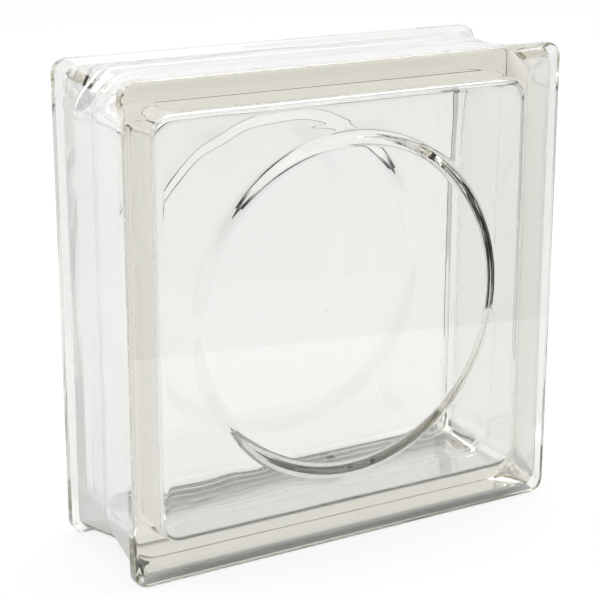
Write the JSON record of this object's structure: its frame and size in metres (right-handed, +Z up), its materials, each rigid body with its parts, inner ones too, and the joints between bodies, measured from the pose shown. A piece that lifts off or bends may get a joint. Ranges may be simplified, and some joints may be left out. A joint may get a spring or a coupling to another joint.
{
  "type": "glass block",
  "caption": "Square hollow building block of clear glass with raised rims, a recessed mortar channel round its sides and a round panel pressed into each face.",
  "frame": {"origin": "centre of the footprint, on the level the block stands on", "axes": "+X along the face to the right as seen from the front, +Y through the depth from the front face to the back face, +Z up"},
  "size_m": [0.24, 0.08, 0.24],
  "materials": {
    "glass": "clear pressed glass with a faint green tint"
  },
  "bodies": {
    "root": {"glass_block": "glass"}
  },
  "joints": []
}
